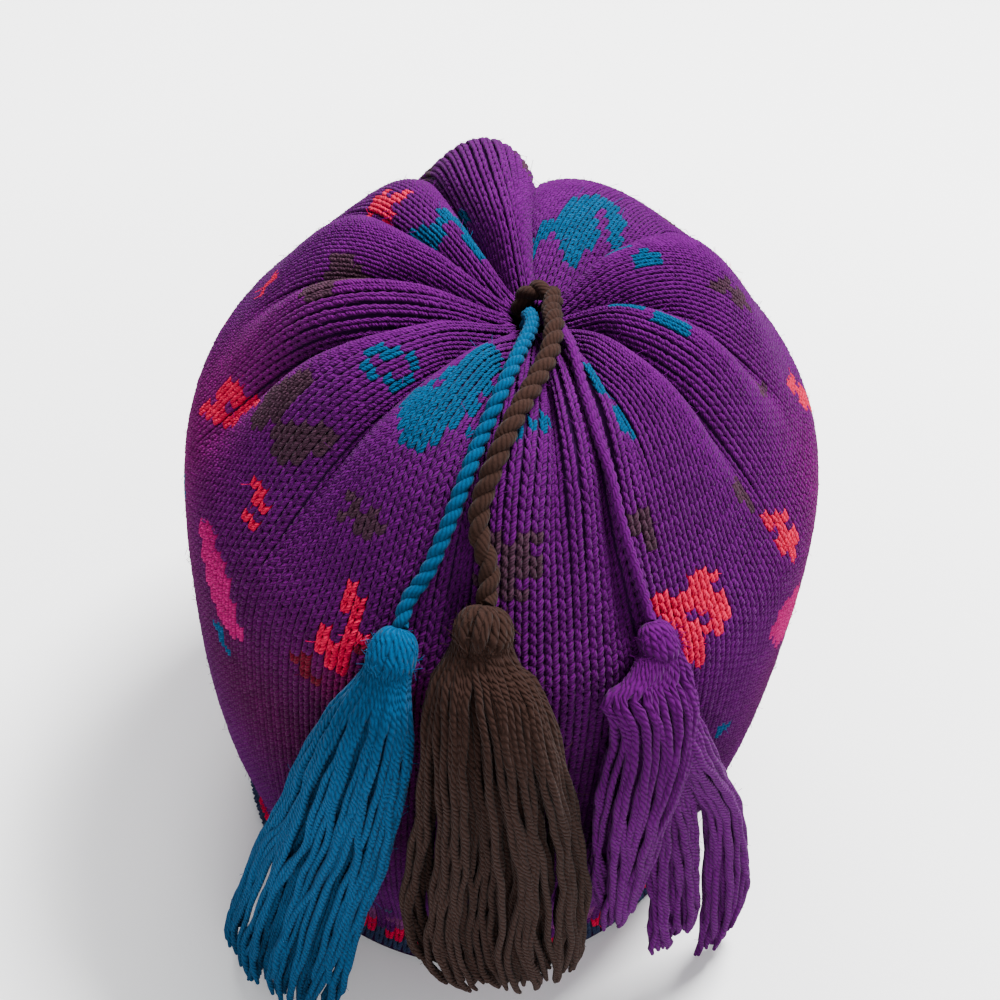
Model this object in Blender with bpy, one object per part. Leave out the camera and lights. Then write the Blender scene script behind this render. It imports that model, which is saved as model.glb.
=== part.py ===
"""A hand-knit ski hat: a hollow tube of fabric whose top is gathered into a small hole, with three
twisted cords coming out of the hole and lying on the hat's back, each ending in a tassel.

Metres, +Z up. The origin is on the surface that the rim rests on, under the middle of the hat, and
-Y is the back of the hat, where the tassels hang. An azimuth is counted in degrees from the back,
-Y, towards +X. A place on the fabric is its azimuth and how far down from the hole it lies.
"""

import math

import bpy
import numpy as np

# Driving sizes
KNIT_WALL = 0.0035
OVAL = 1.15  # the hat's depth over its width, as a head has it
GAP = 0.0003  # clearance between pieces that touch
RIDGE_PUFF = 0.0012  # how far the fabric swells out between two folds
FOLD_RISE = 0.024  # a fold gets its full depth this far from the hole
FOLD_DRIFT_END = 0.085  # past this distance a fold keeps its azimuth

# The hat's sections from the rim up to the hole
SECTION_COLUMNS = ("half_width", "height", "shift_x", "shift_y")
HAT_SECTIONS = (
    (0.0825, 0.0000, 0.0000, 0.0000),
    (0.0802, 0.0140, 0.0000, 0.0000),
    (0.0903, 0.0535, 0.0000, 0.0000),
    (0.0955, 0.0975, 0.0000, 0.0000),
    (0.0960, 0.1515, 0.0000, 0.0000),
    (0.0850, 0.1745, 0.0000, -0.0015),
    (0.0595, 0.2080, 0.0000, -0.0035),
    (0.0320, 0.2150, 0.0010, -0.0040),
    (0.0062, 0.2050, 0.0043, -0.0050),
)

# The folds that run out from the gathered hole, each a valley between two soft ridges
FOLD_COLUMNS = ("azimuth_near_hole", "azimuth_at_end", "depth", "reach", "ridge_after")
FOLDS = (
    (-182.0, -182.0, 0.0100, 0.150, 0.0055),
    (-145.0, -151.0, 0.0090, 0.110, -0.0015),
    (-119.0, -127.0, 0.0085, 0.105, 0.0000),
    (-94.0, -96.0, 0.0100, 0.110, 0.0000),
    (-60.0, -74.0, 0.0125, 0.135, 0.0008),
    (-35.0, -43.0, 0.0120, 0.138, 0.0000),
    (-8.0, -6.0, 0.0070, 0.130, 0.0000),
    (19.0, 13.0, 0.0065, 0.100, 0.0000),
    (31.0, 25.5, 0.0075, 0.150, 0.0000),
    (41.0, 35.0, 0.0055, 0.080, 0.0003),
    (65.0, 62.0, 0.0105, 0.120, 0.0005),
    (93.0, 86.0, 0.0100, 0.110, 0.0025),
    (132.0, 128.0, 0.0085, 0.090, -0.0035),
)

# Mesh spacing
DEGREES_PER_COLUMN = 3.8
OUTER_RINGS = 26
RING_CROWDING = 1.25  # rings lie closer together near the hole
SPARSE_INNER_RINGS = 12  # of the inner face's rings, this many nearest the hole are every other one

# Cords: each rises out of the hole, then lies on the fabric down the back
RISE_COLUMNS = ("x_from_hole", "y_from_hole", "height_above_start")
ROUTE_COLUMNS = ("azimuth", "down", "lift")
CORDS = {
    "blue": {
        "diameter": 0.0045,
        "rise": (
            (-0.0008, -0.0036, 0.0),
            (-0.0006, -0.0040, 0.0060),
        ),
        "route": (
            (8.0, 0.0090, 0.0024),
            (4.0, 0.0190, 0.0011),
            (0.0, 0.0300, 0.0009),
            (-3.5, 0.0400, 0.0006),
            (-7.0, 0.0520, 0.0002),
            (-8.5, 0.0630, 0.0),
            (-10.2, 0.0760, 0.0),
            (-12.2, 0.0890, 0.0004),
        ),
    },
    "brown": {
        "diameter": 0.0058,
        "rise": (
            (-0.0026, 0.0027, 0.0),
            (-0.0030, 0.0030, 0.0050),
            (0.0008, 0.0028, 0.0096),
            (0.0056, -0.0004, 0.0104),
        ),
        "route": (
            (38.0, 0.0100, 0.0050),
            (27.0, 0.0190, 0.0044),
            (17.0, 0.0280, 0.0012),
            (9.0, 0.0370, 0.0),
            (2.0, 0.0480, 0.0),
            (-1.6, 0.0580, 0.0),
            (-3.8, 0.0690, 0.0),
            (-3.2, 0.0770, 0.0004),
        ),
    },
    "purple": {
        "diameter": 0.0032,
        "rise": (
            (0.0036, -0.0006, 0.0),
            (0.0042, -0.0010, 0.0040),
        ),
        "route": (
            (48.0, 0.0080, 0.0010),
            (38.0, 0.0160, 0.0003),
            (32.0, 0.0260, 0.0005),
            (28.5, 0.0380, 0.0005),
            (27.0, 0.0520, 0.0002),
            (27.0, 0.0640, 0.0002),
            (27.0, 0.0760, 0.0002),
            (28.0, 0.0890, 0.0),
        ),
    },
}
CORD_START_HEIGHT = 0.2028
CORD_POINT_SPACING = 2.0  # in cord diameters
CORD_BEVEL_RESOLUTION = 3
CORD_END_GAP = 0.0006
CORD_LAST_STRAIGHT = 1.6  # in cord diameters

# Tassel heads: round wound balls on the cords' ends, lying on the fabric
HEAD_COLUMNS = ("azimuth", "down", "width", "length")
TASSEL_HEADS = {
    "blue": (-14.5, 0.1135, 0.0135, 0.0155),
    "brown": (-0.6, 0.1010, 0.0160, 0.0140),
    "purple": (29.0, 0.1120, 0.0112, 0.0130),
}
HEAD_TILT = 0.0040  # how much farther out a head's lower end stands than its upper end
HEAD_SEGMENTS = 20
HEAD_RINGS = 12

# Tassel skirts: the flared bundle of strands under each head, section by section. Down is counted
# along the line that hangs over the shoulder of the hat and then straight past its widest part;
# standoff is how far the bundle's inner face stays off that line.
SKIRT_COLUMNS = ("azimuth", "down", "half_width", "half_thickness", "standoff")
SKIRTS = {
    "blue": (
        (
            (-14.6, 0.1203, 0.0056, 0.0050, 0.0026),
            (-15.2, 0.1260, 0.0105, 0.0068, 0.0018),
            (-16.0, 0.1340, 0.0135, 0.0080, 0.0010),
            (-18.0, 0.1540, 0.0165, 0.0090, 0.0008),
            (-20.5, 0.1800, 0.0185, 0.0090, 0.0010),
            (-24.2, 0.2080, 0.0212, 0.0085, 0.0020),
            (-27.2, 0.2400, 0.0235, 0.0080, 0.0040),
            (-29.4, 0.2620, 0.0240, 0.0075, 0.0060),
            (-30.2, 0.2790, 0.0225, 0.0060, 0.0080),
        ),
    ),
    "brown": (
        (
            (-0.5, 0.1099, 0.0064, 0.0056, 0.0028),
            (0.2, 0.1140, 0.0130, 0.0078, 0.0018),
            (1.4, 0.1230, 0.0180, 0.0092, 0.0010),
            (2.9, 0.1420, 0.0212, 0.0100, 0.0008),
            (4.2, 0.1640, 0.0245, 0.0100, 0.0008),
            (4.9, 0.1870, 0.0275, 0.0095, 0.0010),
            (5.4, 0.2120, 0.0285, 0.0090, 0.0010),
            (7.4, 0.2340, 0.0268, 0.0080, 0.0010),
            (9.2, 0.2480, 0.0222, 0.0060, 0.0010),
        ),
    ),
    "purple": (
        (
            (29.0, 0.1183, 0.0046, 0.0042, 0.0022),
            (28.8, 0.1235, 0.0085, 0.0060, 0.0016),
            (28.4, 0.1320, 0.0112, 0.0072, 0.0010),
            (27.0, 0.1520, 0.0135, 0.0085, 0.0008),
            (25.9, 0.1760, 0.0105, 0.0080, 0.0008),
            (25.7, 0.2000, 0.0085, 0.0070, 0.0010),
            (26.0, 0.2260, 0.0055, 0.0050, 0.0010),
        ),
        (
            (30.5, 0.1300, 0.0060, 0.0050, 0.0018),
            (33.0, 0.1446, 0.0072, 0.0062, 0.0014),
            (38.5, 0.1669, 0.0068, 0.0060, 0.0012),
            (44.0, 0.1899, 0.0068, 0.0058, 0.0016),
            (47.5, 0.2159, 0.0090, 0.0055, 0.0030),
            (49.5, 0.2419, 0.0115, 0.0055, 0.0050),
            (50.5, 0.2639, 0.0115, 0.0050, 0.0060),
            (49.0, 0.2779, 0.0080, 0.0040, 0.0070),
        ),
    ),
}
SKIRT_SIDES = 22
SKIRT_RINGS = 17
SKIRT_SQUARENESS = 0.85  # below 1 the bundle's section is a little squarer than an ellipse
SKIRT_WRAP = 0.8  # share of the hat's own roundness that a bundle bends to

# Looks: colour as seen, roughness
WOOL = {
    "purple": ((0.115, 0.013, 0.175), 0.85),
    "blue": ((0.0, 0.165, 0.35), 0.85),
    "brown": ((0.056, 0.036, 0.028), 0.88),
}


def catmull_rom(rows, where):
    """Reads a smooth curve through the rows of a table; where counts rows from 0."""
    rows = np.asarray(rows, dtype=float)
    last = len(rows) - 1
    where = np.clip(np.atleast_1d(np.asarray(where, dtype=float)), 0.0, last)
    index = np.minimum(where.astype(int), last - 1)
    part = (where - index)[:, None]

    def row(offset):
        number = index + offset
        found = rows[np.clip(number, 0, last)].copy()
        found[number < 0] = 2 * rows[0] - rows[1]
        found[number > last] = 2 * rows[last] - rows[last - 1]
        return found

    before, here, after, beyond = row(-1), row(0), row(1), row(2)
    return 0.5 * (
        2 * here
        + (after - before) * part
        + (2 * before - 5 * here + 4 * after - beyond) * part**2
        + (3 * here - before - 3 * after + beyond) * part**3
    )


# The hat's side line, read closely, with the distance along the fabric from the hole
SIDE_LINE = catmull_rom(HAT_SECTIONS, np.linspace(len(HAT_SECTIONS) - 1, 0, 801))
STEPS = np.hypot(
    np.diff(SIDE_LINE[:, 0]) * (1 + OVAL) / 2,
    np.diff(SIDE_LINE[:, 1]),
)
SIDE_DOWN = np.concatenate(([0.0], np.cumsum(STEPS)))
FABRIC_LENGTH = SIDE_DOWN[-1]


def smooth_step(value):
    value = np.clip(value, 0.0, 1.0)
    return value * value * (3 - 2 * value)


def side_line(down):
    """Half width, height and shifts of the smooth hat at a distance down from the hole."""
    return [np.interp(down, SIDE_DOWN, column) for column in SIDE_LINE.T]


def side_normal(down):
    """Outward and upward parts of the smooth hat's normal."""
    step = 0.002
    low = side_line(np.minimum(down + step, FABRIC_LENGTH))
    high = side_line(np.maximum(down - step, 0.0))
    along_width = high[0] - low[0]
    along_height = high[1] - low[1]
    size = np.hypot(along_width, along_height)
    return along_height / size, -along_width / size


def fold_azimuth(number, down):
    """Azimuth of a fold's valley; numbers past the last fold count on round the hat."""
    turns, index = divmod(number, len(FOLDS))
    near, end = FOLDS[index][0], FOLDS[index][1]
    drift = smooth_step(down / FOLD_DRIFT_END)
    return near + (end - near) * drift + 360.0 * turns


def fold_fade(reach, down):
    """How much of its depth a fold has at a distance down from the hole."""
    rise = np.clip(down / FOLD_RISE, 0.0, 1.0) ** 0.8
    fall = 1.0 - smooth_step((down - 0.35 * reach) / (0.65 * reach))
    return rise * fall


def swelling(number, share, down):
    """Height of the folded fabric above the smooth hat, at a share of the way to the next fold."""
    this, following = FOLDS[number % len(FOLDS)], FOLDS[(number + 1) % len(FOLDS)]
    ridge = np.sin(math.pi * np.clip(share, 0.0, 1.0)) ** 0.6
    valley_here = this[2] * fold_fade(this[3], down)
    valley_next = following[2] * fold_fade(following[3], down)
    valley = valley_here * (1 - share) + valley_next * share
    crest = (RIDGE_PUFF + this[4]) * fold_fade(max(this[3], following[3]), down)
    return ridge * crest - (1 - ridge) * valley


def fabric_point(azimuth, down, height):
    """A point at a height above the smooth hat, at an azimuth in degrees."""
    angle = math.radians(azimuth)
    half_width, level, shift_x, shift_y = side_line(down)
    outward, upward = side_normal(down)
    side = np.array((math.sin(angle), -math.cos(angle) / OVAL))
    side /= np.hypot(*side)
    return np.array((
        half_width * math.sin(angle) + shift_x + height * outward * side[0],
        -OVAL * half_width * math.cos(angle) + shift_y + height * outward * side[1],
        level + height * upward,
    ))


def swelling_at(azimuth, down):
    """Height of the folded fabric above the smooth hat at any azimuth."""
    count = len(FOLDS)
    for number in range(-count, 2 * count):
        first = fold_azimuth(number, down)
        second = fold_azimuth(number + 1, down)
        if first <= azimuth < second:
            return float(swelling(number, (azimuth - first) / (second - first), down))
    raise ValueError("no fold found at azimuth %g" % azimuth)


def hat_columns():
    """The mesh's columns: each fold's number with even shares of the way to the next fold."""
    columns = []
    for number in range(len(FOLDS)):
        span = fold_azimuth(number + 1, FABRIC_LENGTH) - fold_azimuth(number, FABRIC_LENGTH)
        count = max(6, round(span / DEGREES_PER_COLUMN))
        columns += [(number, index / count) for index in range(count)]
    return columns


def hat_ring(columns, down, inset):
    """One ring of points round the hat, inset below the outer face."""
    points = []
    for number, share in columns:
        first = fold_azimuth(number, down)
        second = fold_azimuth(number + 1, down)
        azimuth = first + (second - first) * share
        points.append(fabric_point(azimuth, down, swelling(number, share, down) - inset))
    return points


def add_mesh(name, points, faces, wool):
    mesh = bpy.data.meshes.new(name)
    mesh.from_pydata([tuple(float(value) for value in point) for point in points], [], faces)
    mesh.validate()
    mesh.shade_smooth()
    made = bpy.data.objects.new(name, mesh)
    bpy.context.scene.collection.objects.link(made)
    made.data.materials.append(wool)
    return made


def bridge_rings(ring_count, size, closed=False):
    """Quads between rings of one size, numbered ring after ring."""
    faces = []
    for ring in range(ring_count if closed else ring_count - 1):
        upper = ring * size
        lower = (ring + 1) % ring_count * size
        for index in range(size):
            following = (index + 1) % size
            faces.append((upper + index, lower + index, lower + following, upper + following))
    return faces


def make_hat_body(wool):
    """The knitted wall: outer rings from the hole down, then inner rings from the rim up."""
    columns = hat_columns()
    steps = list(np.linspace(0.0, 1.0, OUTER_RINGS) ** RING_CROWDING)
    rings = [hat_ring(columns, FABRIC_LENGTH * step, 0.0) for step in steps]
    rim = np.array(rings[-1])
    rim[:, 2] = 0.0
    rings[-1] = list(rim)
    kept = steps[:SPARSE_INNER_RINGS:2] + steps[SPARSE_INNER_RINGS:]
    inner = [hat_ring(columns, FABRIC_LENGTH * step, KNIT_WALL) for step in reversed(kept)]
    middle = rim.mean(axis=0)
    flat = rim - middle
    flat *= 1.0 - KNIT_WALL / np.hypot(flat[:, 0], flat[:, 1])[:, None]
    inner[0] = list(flat + middle)
    rings += inner
    points = [point for ring in rings for point in ring]
    faces = bridge_rings(len(rings), len(columns), closed=True)
    return add_mesh("hat_body", points, faces, wool)


def lying_point(azimuth, down, radius, lift):
    """The middle of a round thing of a radius that lies on the folded fabric."""
    reach = radius * 0.8
    half_width = side_line(down)[0]
    across = math.degrees(reach / max(half_width, 0.012))
    highest = max(
        swelling_at(azimuth + side * across, min(max(down + along * reach, 0.0), FABRIC_LENGTH))
        for side in (-1, 0, 1)
        for along in (-1, 0, 1)
    )
    return fabric_point(azimuth, down, highest + radius + GAP + lift)


def cord_route(tint):
    """Points along a cord's centreline, evenly spaced on a smooth curve."""
    cord = CORDS[tint]
    radius = cord["diameter"] / 2
    hole = np.array((*HAT_SECTIONS[-1][2:], CORD_START_HEIGHT))
    knots = [hole + np.array(place) for place in cord["rise"]]
    knots += [lying_point(azimuth, down, radius, lift) for azimuth, down, lift in cord["route"]]
    middle, axis = head_frame(tint)
    end = middle - axis * (TASSEL_HEADS[tint][3] / 2 + CORD_END_GAP)
    knots += [end - axis * CORD_LAST_STRAIGHT * cord["diameter"], end]
    fine = catmull_rom(knots, np.linspace(0, len(knots) - 1, 600))
    walked = np.concatenate(([0.0], np.cumsum(np.linalg.norm(np.diff(fine, axis=0), axis=1))))
    count = max(12, round(walked[-1] / (CORD_POINT_SPACING * cord["diameter"])))
    even = np.linspace(0.0, walked[-1], count + 1)
    return np.stack([np.interp(even, walked, fine[:, axis]) for axis in range(3)], axis=1)


def make_cord(tint, wool):
    """A cord as a round tube along its route."""
    route = cord_route(tint)
    curve = bpy.data.curves.new("cord_" + tint, "CURVE")
    curve.dimensions = "3D"
    curve.bevel_depth = CORDS[tint]["diameter"] / 2
    curve.bevel_resolution = CORD_BEVEL_RESOLUTION
    curve.use_fill_caps = True
    spline = curve.splines.new("POLY")
    spline.points.add(len(route) - 1)
    for point, place in zip(spline.points, route):
        point.co = (*place, 1.0)
    made = bpy.data.objects.new("cord_" + tint, curve)
    bpy.context.scene.collection.objects.link(made)
    made.data.materials.append(wool)


def head_frame(tint):
    """Middle of a tassel's head and its axis, which points down the fabric."""
    azimuth, down, width, length = TASSEL_HEADS[tint]
    middle = lying_point(azimuth, down, width / 2, 0.0)
    step = length / 2
    lower = fabric_point(azimuth, down + step, HEAD_TILT / 2)
    axis = lower - fabric_point(azimuth, down - step, -HEAD_TILT / 2)
    return middle, axis / np.linalg.norm(axis)


def make_tassel_head(tint, wool):
    """A ball of wound yarn, turned about the head's axis."""
    width, length = TASSEL_HEADS[tint][2:]
    middle, axis = head_frame(tint)
    side = np.cross(axis, (0.0, 0.0, 1.0))
    side /= np.linalg.norm(side)
    other = np.cross(axis, side)
    points = [middle - axis * length / 2]
    for ring in range(1, HEAD_RINGS):
        polar = math.pi * ring / HEAD_RINGS
        reach = width / 2 * math.sin(polar) ** 0.9
        centre = middle - axis * length / 2 * math.cos(polar)
        for segment in range(HEAD_SEGMENTS):
            turn = 2 * math.pi * segment / HEAD_SEGMENTS
            points.append(centre + reach * (side * math.cos(turn) + other * math.sin(turn)))
    points.append(middle + axis * length / 2)
    body = bridge_rings(HEAD_RINGS - 1, HEAD_SEGMENTS)
    faces = [tuple(index + 1 for index in reversed(face)) for face in body]
    last = len(points) - 1
    for segment in range(HEAD_SEGMENTS):
        following = (segment + 1) % HEAD_SEGMENTS
        faces.append((0, 1 + following, 1 + segment))
        faces.append((last, last - HEAD_SEGMENTS + segment, last - HEAD_SEGMENTS + following))
    add_mesh("tassel_head_" + tint, points, faces, wool)


def hanging_line(down):
    """Half width, height and normal where a thing hangs over the shoulder, then straight down."""
    widest = int(SIDE_LINE[:, 0].argmax())
    if down < SIDE_DOWN[widest]:
        half_width, level = side_line(down)[:2]
        outward, upward = side_normal(down)
        return half_width, level, outward, upward
    half_width, level = SIDE_LINE[widest][:2]
    return half_width, level - (down - SIDE_DOWN[widest]), 1.0, 0.0


def skirt_rings(sections):
    """Rings of points round a hanging bundle, from its top section down."""
    rings = []
    for row in catmull_rom(sections, np.linspace(0, len(sections) - 1, SKIRT_RINGS)):
        azimuth, down, half_width, half_thickness, standoff = row
        angle = math.radians(azimuth)
        outline, level, outward, upward = hanging_line(down)
        along = np.array((math.cos(angle), OVAL * math.sin(angle), 0.0))
        along /= np.linalg.norm(along)
        out = np.array((along[1] * outward, -along[0] * outward, upward))
        touching = np.array((
            outline * math.sin(angle),
            -OVAL * outline * math.cos(angle),
            level,
        ))
        centre = touching + out * (RIDGE_PUFF + standoff + half_thickness)
        ring = []
        for index in range(SKIRT_SIDES):
            turn = 2 * math.pi * index / SKIRT_SIDES
            across = math.copysign(abs(math.cos(turn)) ** SKIRT_SQUARENESS, math.cos(turn))
            through = math.copysign(abs(math.sin(turn)) ** SKIRT_SQUARENESS, math.sin(turn))
            bend = SKIRT_WRAP * OVAL * (across * half_width) ** 2 / (2 * outline)
            lift = through * half_thickness - bend * outward
            ring.append(centre + along * across * half_width + out * lift)
        rings.append(ring)
    return rings


def skirt_mesh(name, sections, wool):
    rings = skirt_rings(sections)
    points = [point for ring in rings for point in ring]
    faces = [tuple(reversed(face)) for face in bridge_rings(len(rings), SKIRT_SIDES)]
    faces.append(tuple(reversed(range(SKIRT_SIDES))))
    faces.append(tuple(range(len(points) - SKIRT_SIDES, len(points))))
    return add_mesh(name, points, faces, wool)


def make_tassel_skirt(tint, wool):
    """The bundle of strands; a bundle that parts into two is one solid of both halves."""
    name = "tassel_skirt_" + tint
    bundles = SKIRTS[tint]
    skirt = skirt_mesh(name, bundles[0], wool)
    for number, sections in enumerate(bundles[1:], start=1):
        half = skirt_mesh("%s_half_%d" % (name, number), sections, wool)
        half.hide_render = True
        half.display_type = "WIRE"
        union = skirt.modifiers.new("join_half", "BOOLEAN")
        union.operation = "UNION"
        union.object = half


def make_wool(tint):
    colour, roughness = WOOL[tint]
    wool = bpy.data.materials.new("wool_" + tint)
    wool.use_nodes = True
    shader = wool.node_tree.nodes["Principled BSDF"]
    shader.inputs["Base Color"].default_value = (*colour, 1.0)
    shader.inputs["Roughness"].default_value = roughness
    shader.inputs["Metallic"].default_value = 0.0
    return wool


def main():
    for old in list(bpy.data.objects):
        bpy.data.objects.remove(old, do_unlink=True)
    wools = {tint: make_wool(tint) for tint in WOOL}
    make_hat_body(wools["purple"])
    for tint in CORDS:
        make_cord(tint, wools[tint])
        make_tassel_head(tint, wools[tint])
        make_tassel_skirt(tint, wools[tint])


main()
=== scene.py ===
import math

import bpy
import numpy as np
from bpy.props import FloatProperty, FloatVectorProperty, IntProperty, PointerProperty
from mathutils import Matrix, Vector


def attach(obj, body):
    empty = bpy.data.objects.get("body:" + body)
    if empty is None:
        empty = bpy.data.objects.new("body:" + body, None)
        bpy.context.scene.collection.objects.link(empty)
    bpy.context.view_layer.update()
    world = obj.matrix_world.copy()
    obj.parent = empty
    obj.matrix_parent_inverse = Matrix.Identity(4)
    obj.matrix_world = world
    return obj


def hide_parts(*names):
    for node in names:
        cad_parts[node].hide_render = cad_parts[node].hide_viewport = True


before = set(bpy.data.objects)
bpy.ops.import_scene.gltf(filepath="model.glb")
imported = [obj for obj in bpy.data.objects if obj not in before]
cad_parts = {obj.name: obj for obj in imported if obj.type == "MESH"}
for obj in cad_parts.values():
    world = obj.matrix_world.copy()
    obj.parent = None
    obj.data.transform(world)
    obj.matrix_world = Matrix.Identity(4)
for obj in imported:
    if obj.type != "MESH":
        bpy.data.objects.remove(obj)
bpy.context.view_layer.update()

bl_info = {
    "name": "Knitted tassel hat",
    "version": (1, 0, 0),
    "blender": (4, 5, 0),
    "location": "View3D > Sidebar > Knitted hat",
    "description": "Builds a stockinette hat with a gathered crown, three cords and their tassels",
    "category": "Add Mesh",
}

# Azimuths are in degrees from the back of the hat, -Y, towards +X. Down is the way along the fabric
# from the hole. Lengths are in metres.
OVAL = 1.15  # the hat's depth over its width
WALL = 0.0035  # thickness of the knitted wall
BACKING_DEPTH = 0.0014  # how far the wall's outer face lies under the stitches
RIDGE_PUFF = 0.0012  # how far the fabric swells out between two folds
FOLD_RISE = 0.024  # a fold gets its full depth this far from the hole
FOLD_DRIFT_END = 0.085  # from here down a fold keeps its azimuth
GAP = 0.0003  # clearance between pieces that touch

# Sections of the hat from the rim up to the hole: half width, height, lean sideways, lean back
HAT_SECTIONS = (
    (0.0825, 0.0000, 0.0000, 0.0000),
    (0.0802, 0.0140, 0.0000, 0.0000),
    (0.0903, 0.0535, 0.0000, 0.0000),
    (0.0955, 0.0975, 0.0000, 0.0000),
    (0.0960, 0.1515, 0.0000, 0.0000),
    (0.0850, 0.1745, 0.0000, -0.0015),
    (0.0595, 0.2080, 0.0000, -0.0035),
    (0.0320, 0.2150, 0.0010, -0.0040),
    (0.0062, 0.2050, 0.0043, -0.0050),
)

# Folds: azimuth near the hole, azimuth at the end, depth, reach, extra height of the ridge after
FOLDS = (
    (-182.0, -182.0, 0.0100, 0.150, 0.0055),
    (-145.0, -151.0, 0.0090, 0.110, -0.0015),
    (-119.0, -127.0, 0.0085, 0.105, 0.0000),
    (-94.0, -96.0, 0.0100, 0.110, 0.0000),
    (-60.0, -74.0, 0.0125, 0.135, 0.0008),
    (-35.0, -43.0, 0.0120, 0.138, 0.0000),
    (-8.0, -6.0, 0.0070, 0.130, 0.0000),
    (19.0, 13.0, 0.0065, 0.100, 0.0000),
    (31.0, 25.5, 0.0075, 0.150, 0.0000),
    (41.0, 35.0, 0.0055, 0.080, 0.0003),
    (65.0, 62.0, 0.0105, 0.120, 0.0005),
    (93.0, 86.0, 0.0100, 0.110, 0.0025),
    (132.0, 128.0, 0.0085, 0.090, -0.0035),
)

# Cords: where each rises out of the hole, from its middle, and where it lies: azimuth, down, lift
CORDS = {
    "blue": {
        "diameter": 0.0045,
        "dye": "teal",
        "rise": (
            (-0.0008, -0.0036, 0.0), (-0.0006, -0.004, 0.006),
        ),
        "route": (
            (8.0, 0.009, 0.0024), (4.0, 0.019, 0.0011), (0.0, 0.03, 0.0009),
            (-3.5, 0.04, 0.0006), (-7.0, 0.052, 0.0002), (-8.5, 0.063, 0.0),
            (-10.2, 0.076, 0.0), (-12.2, 0.089, 0.0004),
        ),
    },
    "brown": {
        "diameter": 0.0058,
        "dye": "brown",
        "rise": (
            (-0.0026, 0.0027, 0.0), (-0.003, 0.003, 0.005), (0.0008, 0.0028, 0.0096),
            (0.0056, -0.0004, 0.0104),
        ),
        "route": (
            (38.0, 0.01, 0.005), (27.0, 0.019, 0.0044), (17.0, 0.028, 0.0012),
            (9.0, 0.037, 0.0), (2.0, 0.048, 0.0), (-1.6, 0.058, 0.0), (-3.8, 0.069, 0.0),
            (-3.2, 0.077, 0.0004),
        ),
    },
    "purple": {
        "diameter": 0.0032,
        "dye": "purple",
        "rise": (
            (0.0036, -0.0006, 0.0), (0.0042, -0.001, 0.004),
        ),
        "route": (
            (48.0, 0.008, 0.001), (38.0, 0.016, 0.0003), (32.0, 0.026, 0.0005),
            (28.5, 0.038, 0.0005), (27.0, 0.052, 0.0002), (27.0, 0.064, 0.0002),
            (27.0, 0.076, 0.0002), (28.0, 0.089, 0.0),
        ),
    },
}
PLY_OFFSET, PLY_RADIUS = 0.17, 0.34  # in cord diameters
CORD_POINTS = 240  # even points along a finished cord
CORD_START_HEIGHT = 0.2028
CORD_END_GAP = 0.0006
CORD_LAST_STRAIGHT = 1.6  # in cord diameters

# Tassel heads: azimuth, down, width, length
TASSEL_HEADS = {
    "blue": (-14.5, 0.1135, 0.0135, 0.0155),
    "brown": (-0.6, 0.1010, 0.0160, 0.0140),
    "purple": (29.0, 0.1120, 0.0112, 0.0130),
}
HEAD_TILT = 0.0040  # how much farther out the lower end of a head stands than its top

# Bundles of each tassel's skirt, by sections: azimuth, down, half width, half thickness, standoff
SKIRTS = {
    "blue": (
        (
            (-14.6, 0.1203, 0.0056, 0.005, 0.0026), (-15.2, 0.126, 0.0105, 0.0068, 0.0018),
            (-16.0, 0.134, 0.0135, 0.008, 0.001), (-18.0, 0.154, 0.0165, 0.009, 0.0008),
            (-20.5, 0.18, 0.0185, 0.009, 0.001), (-24.2, 0.208, 0.0212, 0.0085, 0.002),
            (-27.2, 0.24, 0.0235, 0.008, 0.004), (-29.4, 0.262, 0.024, 0.0075, 0.006),
            (-30.2, 0.279, 0.0225, 0.006, 0.008),
        ),
    ),
    "brown": (
        (
            (-0.5, 0.1099, 0.0064, 0.0056, 0.0028), (0.2, 0.114, 0.013, 0.0078, 0.0018),
            (1.4, 0.123, 0.018, 0.0092, 0.001), (2.9, 0.142, 0.0212, 0.01, 0.0008),
            (4.2, 0.164, 0.0245, 0.01, 0.0008), (4.9, 0.187, 0.0275, 0.0095, 0.001),
            (5.4, 0.212, 0.0285, 0.009, 0.001), (7.4, 0.234, 0.0268, 0.008, 0.001),
            (9.2, 0.248, 0.0222, 0.006, 0.001),
        ),
    ),
    "purple": (
        (
            (29.0, 0.1183, 0.0046, 0.0042, 0.0022), (28.8, 0.1235, 0.0085, 0.006, 0.0016),
            (28.4, 0.132, 0.0112, 0.0072, 0.001), (27.0, 0.152, 0.0135, 0.0085, 0.0008),
            (25.9, 0.176, 0.0105, 0.008, 0.0008), (25.7, 0.2, 0.0085, 0.007, 0.001),
            (26.0, 0.226, 0.0055, 0.005, 0.001),
        ),
        (
            (30.5, 0.13, 0.006, 0.005, 0.0018), (33.0, 0.1446, 0.0072, 0.0062, 0.0014),
            (38.5, 0.1669, 0.0068, 0.006, 0.0012), (44.0, 0.1899, 0.0068, 0.0058, 0.0016),
            (47.5, 0.2159, 0.009, 0.0055, 0.003), (49.5, 0.2419, 0.0115, 0.0055, 0.005),
            (50.5, 0.2639, 0.0115, 0.005, 0.006), (49.0, 0.2779, 0.008, 0.004, 0.007),
        ),
    ),
}
SKIRT_WRAP = 0.8  # share of the hat's own roundness that a bundle bends to

# Dyes of the yarns
DYES = {
    "purple": "#44004C",
    # maroon: partly the yarn's own darker, redder tone and partly painted shade low on the hat
    "maroon_and_shade": "#38002A",
    "teal": "#003959",
    "blue": "#003B5F",
    "brown": "#271915",
    "red": "#B00036",
    "rust": "#5A0820",
    "magenta": "#8C0052",
    "dusk": "#28304A",
    "mauve": "#5E2456",
    "umber": "#361F2D",
}

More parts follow.
